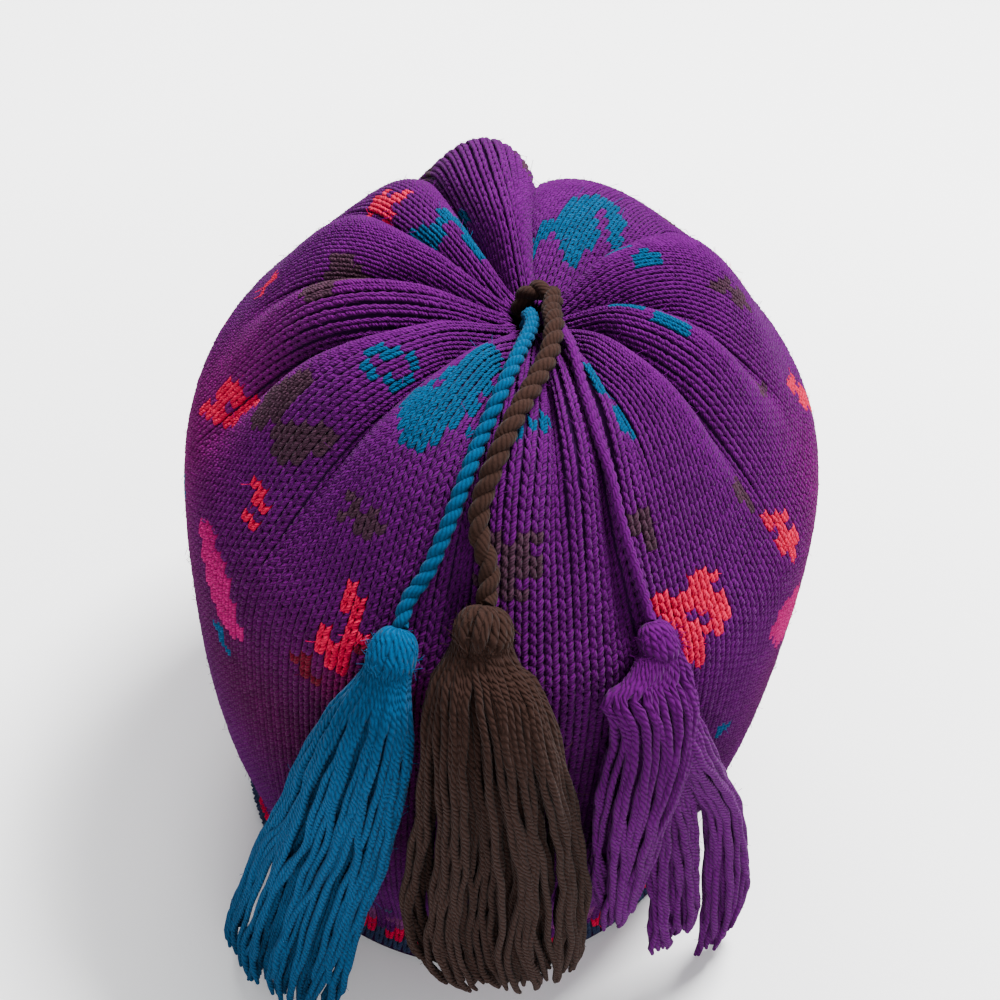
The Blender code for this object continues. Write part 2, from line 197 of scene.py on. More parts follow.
# Charts of the coloured stitches, one word for one knitted row, from the crown side down
CHARTS = {
    "wing": (
        "....xxx... ....xxxx.. ....xxxx.. ....xxxx.. ....xxxxx. ...xxxxxx. ...xxxxx.. ..x.xxxxx. "
        "xxxxxxxxx. xxxxxxxx.. xxxxxxxx.x .xxxxxx... ..xxxxx... ...xxx...."
    ),
    "bird": (
        "...........xx ....xx....xxx ....xxx...xx. ....xxxx.xxx. ...xxxxxxxx.. ...xxxxxxxx.. "
        "...xxxxxx.... xx..xxxxx.... xxx..xxxx.... .xxx.xxxx.... .xxxxxxx..... ...xxxx......"
    ),
    "tick": (
        ".....xx..... ....xxx..... ...xxxx..... ..xxxx...... .xxxxx..xxx. xxx.xxxxxxx. "
        "xx...xx..xxx ..........xx"
    ),
    "hook": "..xx. .x..x xx..x x..xx .xx..",
    "pair": "....xx ....xx xx..x. xxx... xx....",
    "strip": ".xx .xx .xx .xx ... xx. xx. xx. xx.",
    "strap": ".xx. .xx. xxx. xxx. xxx. xx.. .... .xx. .xx. .xx. ..x.",
    "slant": "...xx .xxx. xx...",
    "leaf": "...xxx... ..xxxxx.. .xxxxxx.. xxxxxxx.. xxxx.xxxx xxx..xxxx ..x.xxxxx ....xxxx.",
    "paw": (
        "...xx..... ..xxx..... ..xxx...xx .xxxx..xxx .xxxx.xxxx xxxxxxxxx. xxxx.xxxx. .xxx..xx.. "
        ".xx......."
    ),
    "spark": "xx.x. .xxxx x.xx.",
    "patch": "xx.xx xxxx. x.xxx .xxxx xxx.. .xxx.",
    "fleck": ".x. xx. .xx",
    "crumb": "xx. .xx ... .xx",
    "stub": "xx xx .x .x",
    "bar": "x.. xx. .xx xx. xxx .xx .x.",
    "claw": "....xx ...xx. .xxxx. xxxx.. xx.xx. xxxx.. .xx... xx.... x.....",
    "eye": "xx.xx .xxxx ..xx. .xxx. ..xxx",
    "flame": ".x.. .xx. .xx. ..x. ..xx x.xx xxx. xxx. .xx.",
    "crown": "xx..xx. xxxxxxx .xxxxx. .xx.xxx ..xx.xx ..xxxxx ..xx.x. ..xx... ...x...",
    "band": ".xx..... xxxxx... xxxxxx.. .xxxxx.. .xxxxxx. ..xxxxx. ..xxxxxx ...xxxxx ....xxx.",
    "dot": "x. xx",
}

# Where the charts are knitted in, one over the other: yarn, then chart, azimuth and down of the middle
MOTIFS = (
    ("teal", (
        ("wing", -19.0, 0.04), ("hook", -46.0, 0.044), ("bird", 155.0, 0.031), ("tick", -136.0, 0.028),
        ("pair", 116.0, 0.031), ("slant", 8.0, 0.048), ("strap", 38.5, 0.042), ("strip", 81.0, 0.035),
    )),
    ("umber", (
        ("leaf", -94.0, 0.053), ("paw", -56.0, 0.079), ("spark", -28.5, 0.083), ("patch", 3.5, 0.088),
        ("stub", 33.0, 0.084), ("stub", 61.0, 0.096), ("fleck", 86.0, 0.083), ("bar", 102.0, 0.067),
        ("fleck", -178.0, 0.058), ("leaf", 138.0, 0.084), ("patch", -150.0, 0.08),
    )),
    ("red", (
        ("eye", -130.5, 0.056), ("fleck", -106.0, 0.09), ("claw", -74.0, 0.103), ("crumb", -53.0, 0.105),
        ("flame", -24.5, 0.114),
    )),
    ("rust", (
        ("fleck", -30.0, 0.134), ("fleck", -19.0, 0.117),
    )),
    ("red", (
        ("crown", 38.0, 0.115), ("bar", 66.0, 0.114), ("bar", 99.0, 0.112), ("bar", 123.0, 0.096),
        ("flame", 140.0, 0.116), ("crown", -165.0, 0.112), ("eye", -136.0, 0.116),
    )),
    ("magenta", (
        ("band", -54.0, 0.137), ("band", 67.0, 0.152), ("band", -101.0, 0.132), ("band", 119.0, 0.138),
        ("band", 172.0, 0.142),
    )),
    ("blue", (
        ("dot", -76.0, 0.14), ("fleck", -54.0, 0.158), ("dot", 50.0, 0.174), ("fleck", 100.0, 0.166),
        ("fleck", -120.0, 0.164), ("fleck", 160.0, 0.172),
    )),
    ("umber", (
        ("patch", 84.0, 0.196), ("leaf", 134.0, 0.2), ("patch", -140.0, 0.196),
    )),
    ("red", (
        ("eye", 104.0, 0.224), ("eye", -104.0, 0.222), ("claw", 166.0, 0.226),
    )),
)

# Brushed areas where the ground turns to another dye, and maroon areas low on the hat, darker partly as
# painted shade: dye, azimuth, down, reach round and down, amount
SHADES = (
    ("maroon_and_shade", -38.0, 0.165, 42.0, 0.048, 0.85),
    ("maroon_and_shade", 74.0, 0.180, 26.0, 0.050, 0.5),
    ("magenta", -82.0, 0.120, 16.0, 0.050, 0.22),
    ("magenta", 84.0, 0.160, 16.0, 0.050, 0.25),
    ("red", -18.0, 0.132, 9.0, 0.012, 0.22),
    ("maroon_and_shade", 160.0, 0.170, 40.0, 0.050, 0.5),
)

# Rows of two-colour knitting at the rim, from the edge up; one letter for one stitch of the repeat,
# and p for the ground
RIM_CHART = (
    "dddddddddddd",
    "rrdrrrddrrrd",
    "prrppprpprrp",
    "pmppmppmppmp",
    "mmpmmpmmpmmp",
    "pmppmppmppmp",
    "pppppppppppp",
    "dpppdpppdppp",
)
RIM_DYES = {"d": "dusk", "r": "red", "m": "mauve"}

RIM_EDGE = 0.0022  # how far above the rim the lowest row of stitches ends
ROW_HEIGHTS = (0.0022, 0.0038)  # lowest and highest that a stitch may be

# How each tassel's first bundle spreads out under its head, beside its own sections: width, how soon
# that fades down the bundle, the share drawn in at the very top, and the lean sideways
SHOULDERS = {
    "blue": (0.0030, 9.0, 0.25, 0.0),
    "brown": (0.0042, 9.0, 0.25, 0.0),
    "purple": (0.0120, 4.5, 0.55, -0.0080),
}

# The middle tuft of the purple tassel's strands, in the same columns as the skirts
TUFT = (
    (30.5, 0.15, 0.005, 0.004, 0.001), (34.0, 0.18, 0.0085, 0.0045, 0.001),
    (36.5, 0.21, 0.01, 0.005, 0.0015), (38.5, 0.238, 0.01, 0.005, 0.003),
    (39.0, 0.256, 0.0085, 0.004, 0.004),
)
PURPLE_STRANDS = (40, 26, 18)  # strands in the outer layer of its two bundles and the tuft
STRAND_STEPS = 34  # sections along a strand
UNEVEN_ENDS = 6  # sections that the shortest strand lacks
LOCKS = 9  # locks round a bundle
PHASES = (0, 6.3)  # where a wave may start in its turn
# The small crimp of a strand, least and most: waves along it, where they start, and how deep they are
CRIMPS = ((6.0, 10.0), PHASES, (0.0002, 0.0005))

# Loose fibres: their radius, their brightness beside the wool's, which is a painted glow, the longest on
# the fabric and on a tassel, and how many a tassel has on its strands and on its head
HAIR_RADIUS = 0.00007
HAIR_PAINTED_GLOW = 1.3
FABRIC_HAIR, TASSEL_HAIR = 0.0042, 0.0045
STRAND_FIBRES, HEAD_FIBRES = 700, 260

# How many points a line is read at: the hat's side, a turn round it, a ridge and a cord
SIDE_POINTS, TURN_POINTS, RIDGE_POINTS, ROUTE_POINTS = 801, 3601, 81, 600
KNIT_SEED, DYE_SEED, TASSEL_SEED = 3, 7, 40
LIT_POINT = Vector((0, 0, 0.12))  # where the lights point
FULL_TURN = 2 * math.pi


def srgb(code):
    """Linear colour of a #RRGGBB code."""
    parts = [int(code[i:i + 2], 16) / 255 for i in (1, 3, 5)]
    return tuple(p / 12.92 if p <= 0.04045 else ((p + 0.055) / 1.055) ** 2.4 for p in parts)


def catmull_rom(rows, where):
    """Reads a smooth curve through the rows of a table; where counts rows from 0."""
    rows = np.asarray(rows, dtype=float)
    last = len(rows) - 1
    where = np.clip(where, 0.0, last)
    index = np.minimum(where.astype(int), last - 1)
    part = (where - index)[:, None]
    rows = np.concatenate(([2 * rows[0] - rows[1]], rows, [2 * rows[-1] - rows[-2]]))
    before, here, after, beyond = (rows[index + offset] for offset in range(4))
    return 0.5 * (
        2 * here
        + (after - before) * part
        + (2 * before - 5 * here + 4 * after - beyond) * part**2
        + (3 * here - before - 3 * after + beyond) * part**3
    )


def unit(vector):
    """The vector at a length of 1."""
    return vector / np.linalg.norm(vector)


def running_total(steps):
    """Sums of the steps so far, from 0."""
    return np.concatenate(([0.0], np.cumsum(steps)))


SIDE_LINE = catmull_rom(HAT_SECTIONS, np.linspace(len(HAT_SECTIONS) - 1, 0, SIDE_POINTS))
SIDE_DOWN = running_total(np.hypot(np.diff(SIDE_LINE[:, 0]) * (1 + OVAL) / 2, np.diff(SIDE_LINE[:, 1])))
FABRIC_LENGTH = SIDE_DOWN[-1]


def smooth_step(value):
    """Goes from 0 to 1 as the value does, and is level at both ends."""
    value = np.clip(value, 0.0, 1.0)
    return value * value * (3 - 2 * value)


def side_line(down):
    """Half width, height and leans of the smooth hat at a way down."""
    return [np.interp(down, SIDE_DOWN, SIDE_LINE[:, column]) for column in range(4)]


def side_normal(down):
    """Outward and upward parts of the smooth hat's normal."""
    step = 0.002
    low = side_line(np.minimum(down + step, FABRIC_LENGTH))
    high = side_line(np.maximum(down - step, 0.0))
    along_width = high[0] - low[0]
    along_height = high[1] - low[1]
    size = np.hypot(along_width, along_height)
    return along_height / size, -along_width / size


def fold_azimuth(number, down):
    """Azimuth of a fold at a way down; the numbers go on round the hat."""
    turns, index = divmod(number, len(FOLDS))
    near, end = FOLDS[index][0], FOLDS[index][1]
    return near + (end - near) * smooth_step(down / FOLD_DRIFT_END) + 360.0 * turns


def fold_fade(reach, down):
    """Depth of a fold of some reach, as a share of its full depth. It fades from 0.35 of its reach on."""
    rise = np.clip(down / FOLD_RISE, 0.0, 1.0) ** 0.8
    return rise * (1.0 - smooth_step((down - 0.35 * reach) / (0.65 * reach)))


def swelling(number, share, down):
    """Height of the folded fabric above the smooth hat, at a share of the way to the next fold."""
    this, following = FOLDS[number % len(FOLDS)], FOLDS[(number + 1) % len(FOLDS)]
    ridge = np.sin(math.pi * np.clip(share, 0.0, 1.0)) ** 0.6
    valley = this[2] * fold_fade(this[3], down) * (1 - share)
    valley = valley + following[2] * fold_fade(following[3], down) * share
    crest = (RIDGE_PUFF + this[4]) * fold_fade(max(this[3], following[3]), down)
    return ridge * crest - (1 - ridge) * valley


def fabric_points(azimuth, down, height):
    """Points at heights above the smooth hat; azimuths in degrees, down one number or many."""
    angle = np.radians(azimuth)
    half_width, level, lean, lean_back = side_line(down)
    outward, upward = side_normal(down)
    side_x, side_y = np.sin(angle), -np.cos(angle) / OVAL
    size = np.hypot(side_x, side_y)
    return np.stack([
        half_width * np.sin(angle) + lean + height * outward * side_x / size,
        -OVAL * half_width * np.cos(angle) + lean_back + height * outward * side_y / size,
        (level + height * upward) * np.ones_like(angle),
    ], axis=-1)


def swelling_at(azimuth, down):
    """Height of the folded fabric above the smooth hat at an azimuth."""
    for number in range(-len(FOLDS), 2 * len(FOLDS)):
        first, second = fold_azimuth(number, down), fold_azimuth(number + 1, down)
        if first <= azimuth < second:
            return float(swelling(number, (azimuth - first) / (second - first), down))
    raise ValueError("no fold at azimuth %g" % azimuth)


def lying_point(azimuth, down, radius, lift):
    """The middle of a round thing of a radius that lies on the folded fabric."""
    reach = radius * 0.8  # how far from its middle it may touch the fabric
    across = math.degrees(reach / max(side_line(down)[0], 0.012))
    highest = max(
        swelling_at(azimuth + side * across, min(max(down + along * reach, 0.0), FABRIC_LENGTH))
        for side in (-1, 0, 1)
        for along in (-1, 0, 1)
    )
    return fabric_points(azimuth, down, highest + radius + GAP + lift)


def head_frame(tint):
    """Middle of a tassel's head and its axis, which points down the fabric."""
    azimuth, down, width, length = TASSEL_HEADS[tint]
    middle = lying_point(azimuth, down, width / 2, 0.0)
    lower = fabric_points(azimuth, down + length / 2, HEAD_TILT / 2)
    axis = lower - fabric_points(azimuth, down - length / 2, -HEAD_TILT / 2)
    return middle, unit(axis)


def ways_along(points):
    """How far along a line each of its points lies."""
    return running_total(np.linalg.norm(np.diff(points, axis=0), axis=1))


def even_points(fine, count):
    """Points at even distances along a closely read line."""
    walked = ways_along(fine)
    even = np.linspace(0.0, walked[-1], count)
    return np.stack([np.interp(even, walked, fine[:, axis]) for axis in range(3)], axis=1)


def cord_route(tint):
    """Points along a cord's centreline, the same line as the solid's."""
    cord = CORDS[tint]
    hole = np.array((HAT_SECTIONS[-1][2], HAT_SECTIONS[-1][3], CORD_START_HEIGHT))
    knots = [hole + np.array(place) for place in cord["rise"]]
    knots += [lying_point(a, d, cord["diameter"] / 2, lift) for a, d, lift in cord["route"]]
    middle, axis = head_frame(tint)
    end = middle - axis * (TASSEL_HEADS[tint][3] / 2 + CORD_END_GAP)
    knots += [end - axis * CORD_LAST_STRAIGHT * cord["diameter"], end]
    fine = catmull_rom(knots, np.linspace(0, len(knots) - 1, ROUTE_POINTS))
    return even_points(fine, CORD_POINTS)


def hanging_line(down):
    """Half width, height and normal of the line that hangs over the shoulder, then straight down."""
    widest = int(SIDE_LINE[:, 0].argmax())
    if down < SIDE_DOWN[widest]:
        half_width, level = side_line(down)[:2]
        return (half_width, level, *side_normal(down))
    half_width, level = SIDE_LINE[widest][:2]
    return half_width, level - (down - SIDE_DOWN[widest]), 1.0, 0.0


def skirt_frame(row):
    """Middle of a skirt's section with the directions across and out of it, and its sizes."""
    azimuth, down, half_width, half_thickness, standoff = row
    angle = math.radians(azimuth)
    outline, level, outward, upward = hanging_line(down)
    along = unit(np.array((math.cos(angle), OVAL * math.sin(angle), 0.0)))
    out = np.array((along[1] * outward, -along[0] * outward, upward))
    touching = np.array((outline * math.sin(angle), -OVAL * outline * math.cos(angle), level))
    middle = touching + out * (RIDGE_PUFF + standoff + half_thickness)
    return middle, along, out, half_width, half_thickness, outline


def knit_grid(columns, rows, inset=0.0, narrowest=None, edge=0.0):
    """Points of the folded fabric, row by row, with each one's azimuth and which of them show.
    Columns share each ridge evenly, unless that makes them narrower than a stitch can be: then the
    ones next to a fold run into it, as in gathered cloth."""
    turn = np.linspace(0.0, FULL_TURN, TURN_POINTS)
    walked = running_total(np.hypot(np.cos(turn[:-1]), OVAL * np.sin(turn[:-1])) * np.diff(turn))
    ends = [fold_azimuth(number, FABRIC_LENGTH) for number in range(len(FOLDS) + 1)]
    even = np.degrees(np.interp((np.arange(columns) + 0.5) / columns * walked[-1], walked, turn))
    even = np.sort((even - ends[0]) % 360.0) + ends[0]
    fold = np.searchsorted(ends, even, side="right") - 1
    widest = SIDE_DOWN[SIDE_LINE[:, 0].argmax()]
    points = np.zeros((rows, columns, 3))
    azimuths = np.zeros((rows, columns))
    shows = np.ones((rows, columns), dtype=bool)
    downs = (FABRIC_LENGTH - edge) * np.arange(rows) / (rows - 1)
    share = np.linspace(0.0, 1.0, RIDGE_POINTS)
    for row, down in enumerate(downs):
        for number in range(len(FOLDS)):
            mine = np.nonzero(fold == number)[0]
            start, stop = fold_azimuth(number, down), fold_azimuth(number + 1, down)
            line = fabric_points(
                start + (stop - start) * share, down, swelling(number, share, down) - inset
            )
            far = ways_along(line)
            pitch = far[-1] / len(mine)
            if narrowest and down < widest:
                pitch = max(pitch, narrowest)
            place = far[-1] / 2 + (np.arange(len(mine)) - (len(mine) - 1) / 2) * pitch
            # a column ends where its middle is a quarter of a stitch past the fold
            shows[row, mine] = (place > -0.25 * pitch) & (place < far[-1] + 0.25 * pitch)
            where = np.interp(np.clip(place, 0.0, far[-1]), far, share)
            azimuths[row, mine] = start + (stop - start) * where
            points[row, mine] = fabric_points(
                azimuths[row, mine], down, swelling(number, where, down) - inset
            )
    return points, azimuths, shows


# Node helpers

def set_inputs(tree, node, inputs):
    """Sets each input of a node, or links it where a socket is given."""
    for name, value in inputs.items():
        if isinstance(value, bpy.types.NodeSocket):
            tree.links.new(value, node.inputs[name])
        else:
            node.inputs[name].default_value = value


def add_node(tree, kind, inputs=None, **settings):
    """Adds a node with its settings and its inputs."""
    made = tree.nodes.new(kind)
    for name, value in settings.items():
        setattr(made, name, value)
    set_inputs(tree, made, inputs or {})
    return made


def new_material(name):
    """A material, its tree, its shader and the object's own coordinates."""
    made = bpy.data.materials.new(name)
    made.use_nodes = True
    tree = made.node_tree
    where = add_node(tree, "ShaderNodeTexCoord").outputs["Object"]
    return made, tree, tree.nodes["Principled BSDF"], where


def wool(name, dye=None, ply_mark=2.0, lobes=2, ply_depth=0.5, sheen=0.03):
    """Plied wool yarn, matt and soft, with painted shade in the grooves between its plies and painted
    light on their crowns. The dye comes from the mesh's dye attribute unless one is given. The twist
    is drawn from the wrap attribute, which holds the cosine and sine round the strand and the
    millimetres along it: the plies cross the strand ply_mark millimetres apart."""
    made, tree, shader, where = new_material(name)
    wrap = add_node(tree, "ShaderNodeAttribute", attribute_name="wrap").outputs["Vector"]
    parts = add_node(tree, "ShaderNodeSeparateXYZ", {"Vector": wrap}).outputs
    found = {"cos": parts[0], "sin": parts[1], "mm": parts[2]}
    # patterns in the wool: clouds of dye 22 mm across, fibres, drawn 0.9 mm wide because real ones of
    # 0.02 mm are too fine to show, and a twist that changes over 6 mm
    for noise, scale, detail, roughness in (
        ("cloud", 45.0, 3.0, 0.5),
        ("fibre", 1100.0, 3.0, 0.65),
        ("uneven", 160.0, 1.0, 0.5),
    ):
        found[noise] = add_node(tree, "ShaderNodeTexNoise", {
            "Vector": where, "Scale": scale, "Detail": detail, "Roughness": roughness,
        }).outputs["Fac"]
    # sums for colour and relief: the result, the operation, and what goes into it
    for result, operation, *given in (
        ("round", "ARCTAN2", "sin", "cos"),
        ("twist", "MULTIPLY", "mm", math.pi / ply_mark),
        ("turn", "MULTIPLY_ADD", "uneven", 7.0, "twist"),
        ("phase", "MULTIPLY_ADD", "round", lobes, "turn"),
        ("sine", "SINE", "phase"),
        ("wave", "ABSOLUTE", "sine"),
        # the colour's level: the dye's over the piece, painted shade and light across the plies, and the
        # dye's from fibre to fibre
        *(
            (pattern + "_level", "MULTIPLY_ADD", pattern, spread, 1.0 - spread / 2)
            for pattern, spread in (("cloud", 0.35), ("wave", 0.5), ("fibre", 0.7))
        ),
        ("mottle_and_ply_shade", "MULTIPLY", "cloud_level", "wave_level"),
        ("level", "MULTIPLY", "mottle_and_ply_shade", "fibre_level"),
        ("nap", "MULTIPLY", "fibre", 0.5),
        ("height", "MULTIPLY_ADD", "wave", ply_depth, "nap"),
    ):
        inputs = {place: found.get(value, value) for place, value in enumerate(given)}
        found[result] = add_node(tree, "ShaderNodeMath", inputs, operation=operation).outputs[0]
    source = srgb(dye) if dye else add_node(
        tree, "ShaderNodeAttribute", attribute_name="dye"
    ).outputs["Color"]
    dyed_and_shaded = add_node(
        tree, "ShaderNodeVectorMath", {0: source, "Scale": found["level"]}, operation="SCALE"
    )
    bump = add_node(
        tree, "ShaderNodeBump", {"Strength": 0.7, "Distance": 0.0005, "Height": found["height"]}
    )
    set_inputs(tree, shader, {
        "Base Color": dyed_and_shaded.outputs[0], "Normal": bump.outputs["Normal"],
        "Roughness": 0.95, "Specular IOR Level": 0.03,
        "Sheen Weight": sheen, "Sheen Roughness": 0.5,
    })
    return made


# Mesh helpers

def new_object(name, data):
    """Puts a mesh, curve, camera or light in the scene."""
    made = bpy.data.objects.new(name, data)
    bpy.context.scene.collection.objects.link(made)
    return made


def mesh_object(name, points, faces):
    """A smooth mesh in a new object."""
    mesh = bpy.data.meshes.new(name)
    mesh.from_pydata(np.asarray(points, dtype=float).tolist(), [], faces)
    mesh.shade_smooth()
    return new_object(name, mesh)


def put_vectors(mesh, name, values):
    """Stores a vector for each point of a mesh."""
    attribute = mesh.attributes.new(name, "FLOAT_VECTOR", "POINT")
    attribute.data.foreach_set("vector", np.asarray(values, dtype=np.float32).ravel())


def put_colours(mesh, colours):
    """Stores the colour of each point of a mesh: its dye, with the painted shade and painted glow that some
    points carry.
    """
    attribute = mesh.attributes.new("dye", "FLOAT_COLOR", "POINT")
    full = np.ones((len(colours), 4), dtype=np.float32)
    full[:, :3] = colours
    attribute.data.foreach_set("color", full.ravel())


def plain_mesh(name, source):
    """The evaluated object as a plain mesh in a new object; the source is removed."""
    graph = bpy.context.evaluated_depsgraph_get()
    mesh = bpy.data.meshes.new_from_object(
        source.evaluated_get(graph), preserve_all_data_layers=True, depsgraph=graph
    )
    mesh.name = name
    # what would reach under the floor is pressed flat on it
    places = np.empty(len(mesh.vertices) * 3, dtype=np.float32)
    mesh.vertices.foreach_get("co", places)
    places[2::3] = np.maximum(places[2::3], 0.0)
    mesh.vertices.foreach_set("co", places)
    mesh.shade_smooth()
    bpy.data.objects.remove(source, do_unlink=True)
    return new_object(name, mesh)


def new_tree(name, **sockets):
    """An empty geometry tree, and the sockets of its named inputs."""
    tree = bpy.data.node_groups.new(name, "GeometryNodeTree")
    for label, kind in {"Geometry": "Geometry", **sockets}.items():
        tree.interface.new_socket(label, in_out="INPUT", socket_type="NodeSocket" + kind)
    tree.interface.new_socket("Geometry", in_out="OUTPUT", socket_type="NodeSocketGeometry")
    return tree, tree.nodes.new("NodeGroupInput").outputs


def finish_tree(tree, geometry, material):
    """Ends a tree: its instances become real geometry and get their material."""
    real = add_node(tree, "GeometryNodeRealizeInstances", {0: geometry})
    finished = add_node(
        tree, "GeometryNodeSetMaterial", {"Geometry": real.outputs[0], "Material": material}
    )
    add_node(tree, "NodeGroupOutput", {0: finished.outputs[0]})
    return tree


def use_tree(target, tree, **values):
    """Puts a geometry tree on an object and sets its inputs by their sockets' identifiers."""
    modifier = target.modifiers.new(tree.name, "NODES")
    modifier.node_group = tree
    names = {item.name: item.identifier for item in tree.interface.items_tree if item.in_out == "INPUT"}
    for label, value in values.items():
        modifier[names[label]] = value


def stitch_tree():
    """Sets one stitch on every point, turned by its facing and upward attributes."""
    tree, given = new_tree("knit_stitches", Stitch="Object", Plumpness="Float", Yarn="Material")
    facing, upward, size = [
        add_node(
            tree, "GeometryNodeInputNamedAttribute", {"Name": name}, data_type="FLOAT_VECTOR"
        ).outputs["Attribute"]
        for name in ("facing", "upward", "stitch_size")
    ]
    turned = add_node(
        tree, "FunctionNodeAxesToRotation", {"Primary Axis": facing, "Secondary Axis": upward},
        primary_axis="Z", secondary_axis="Y",
    )
    stitch = add_node(tree, "GeometryNodeObjectInfo", {"Object": given["Stitch"]})
    plump = add_node(
        tree, "ShaderNodeVectorMath", {0: size, "Scale": given["Plumpness"]}, operation="SCALE"
    )
    placed = add_node(tree, "GeometryNodeInstanceOnPoints", {
        "Points": given["Geometry"], "Instance": stitch.outputs["Geometry"],
        "Rotation": turned.outputs[0], "Scale": plump.outputs[0],
    })
    return finish_tree(tree, placed.outputs[0], given["Yarn"])


def yarn_tree():
    """Sweeps a round strand along every spline; the curve's radius scales it. The strand gets the
    wrap attribute that the wool reads."""
    tree, given = new_tree("yarn_strands", Radius="Float", Sides="Int", Yarn="Material")
    ring = add_node(
        tree, "GeometryNodeCurvePrimitiveCircle",
        {"Resolution": given["Sides"], "Radius": given["Radius"]},
    )
    shapes = {"ring": ring.outputs[0], "line": given["Geometry"]}
    along = add_node(tree, "GeometryNodeSplineParameter").outputs
    angle = add_node(
        tree, "ShaderNodeMath", {0: along["Factor"], 1: FULL_TURN}, operation="MULTIPLY"
    ).outputs[0]
    for name, shape, operation, inputs in (
        ("ring_cos", "ring", "COSINE", {0: angle}),
        ("ring_sin", "ring", "SINE", {0: angle}),
        ("along_mm", "line", "MULTIPLY", {0: along["Length"], 1: 1000.0}),
    ):
        value = add_node(tree, "ShaderNodeMath", inputs, operation=operation)
        shapes[shape] = add_node(
            tree, "GeometryNodeStoreNamedAttribute",
            {"Name": name, "Geometry": shapes[shape], "Value": value.outputs[0]},
            data_type="FLOAT", domain="POINT",
        ).outputs[0]
    thick, *parts = [
        add_node(
            tree, "GeometryNodeInputNamedAttribute", {"Name": name}, data_type="FLOAT"
        ).outputs["Attribute"]
        for name in ("radius", "ring_cos", "ring_sin", "along_mm")
    ]
    swept = add_node(tree, "GeometryNodeCurveToMesh", {
        "Curve": shapes["line"], "Profile Curve": shapes["ring"], "Scale": thick, "Fill Caps": True,
    })
    wrap = add_node(tree, "ShaderNodeCombineXYZ", dict(enumerate(parts)))
    wrapped = add_node(
        tree, "GeometryNodeStoreNamedAttribute",
        {"Name": "wrap", "Geometry": swept.outputs[0], "Value": wrap.outputs[0]},
        data_type="FLOAT_VECTOR", domain="POINT",
    )
    return finish_tree(tree, wrapped.outputs[0], given["Yarn"])


def yarn_object(name, lines, radius, sides, material, thickness=None):
    """Strands along lists of points, swept by the yarn tree, as one plain mesh."""
    curve = bpy.data.curves.new(name + "_lines", "CURVE")
    curve.dimensions = "3D"
    for number, line in enumerate(lines):
        spline = curve.splines.new("POLY")
        spline.points.add(len(line) - 1)
        spline.points.foreach_set("co", np.hstack((line, np.ones((len(line), 1)))).ravel())
        if thickness is not None:
            spline.points.foreach_set("radius", thickness[number])
    source = new_object(name + "_lines", curve)
    tree = bpy.data.node_groups.get("yarn_strands") or yarn_tree()
    use_tree(source, tree, Radius=radius, Sides=sides, Yarn=material)
    made = plain_mesh(name, source)
    bpy.data.curves.remove(curve)
    return made


def line_frames(points):
    """Two directions square to a line at each point, carried along it without twisting."""
    tangents = np.gradient(points, axis=0)
    tangents /= np.linalg.norm(tangents, axis=1)[:, None]
    side = np.cross(tangents[0], (0.3, 0.2, 0.9))  # any way in which no line starts
    sides = []
    for tangent in tangents:
        side = unit(side - tangent * side.dot(tangent))
        sides.append(side)
    sides = np.array(sides)
    return sides, np.cross(tangents, sides)


def plies(points, count, offset, pitch):
    """Lines of the plies that twist round a line."""
    sides, others = line_frames(points)
    lines = []
    for number in range(count):
        angle = FULL_TURN * (number / count + ways_along(points) / pitch)
        lines.append(
            points + offset * (np.cos(angle)[:, None] * sides + np.sin(angle)[:, None] * others)
        )
    return lines


def stand_in(made, node):
    """The piece rides on the hat's root body and stands for a CAD node, which is hidden."""
    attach(made, "root")
    if node:
        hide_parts(node)


# What a user would change

class KnitSettings(bpy.types.PropertyGroup):
    stitches_around: IntProperty(
        name="Stitches around", description="Stitches in one row of knitting",
        default=156, min=60, max=240,
    )
    rows: IntProperty(
        name="Rows", description="Rows of knitting from the gather to the rim",
        default=93, min=40, max=140,
    )
    narrowest: FloatProperty(
        name="Narrowest stitch", description="Columns run into a fold rather than get narrower",
        default=0.0025, unit="LENGTH",
    )
    sink: FloatProperty(
        name="Sink", description="How deep the middle of the yarn lies under the hat's outer face",
        default=0.0007, unit="LENGTH",
    )
    pieces: IntProperty(
        name="Fabric pieces", description="Meshes that the stitches are shared between",
        default=4, min=3, max=8,
    )
    fibres: IntProperty(
        name="Loose fibres", description="Stray fibres that stand off the fabric",
        default=5200, min=0, max=9000,
    )


class TasselSettings(bpy.types.PropertyGroup):
    strand_width: FloatProperty(
        name="Strand width", description="Thickness of a tassel's strand",
        default=0.0023, unit="LENGTH",
    )
    strands: IntProperty(
        name="Strands", description="Strands in the outer layer of the blue and brown tassels",
        default=58, min=12, max=90,
    )
    cord_twist: FloatProperty(
        name="Cord twist", description="Length of one full turn, in cord diameters", default=1.9,
    )


class StageSettings(bpy.types.PropertyGroup):
    floor_colour: FloatVectorProperty(
        name="Floor", description="Colour of the floor",
        default=srgb("#FFFFFF"), size=3, subtype="COLOR",
    )
    key_power: FloatProperty(
        name="Key light", description="Power of the main light", default=56.0, unit="POWER",
    )
    fill_power: FloatProperty(
        name="Fill light", description="Power of the fill light", default=6.5, unit="POWER",
    )


# Camera and cords

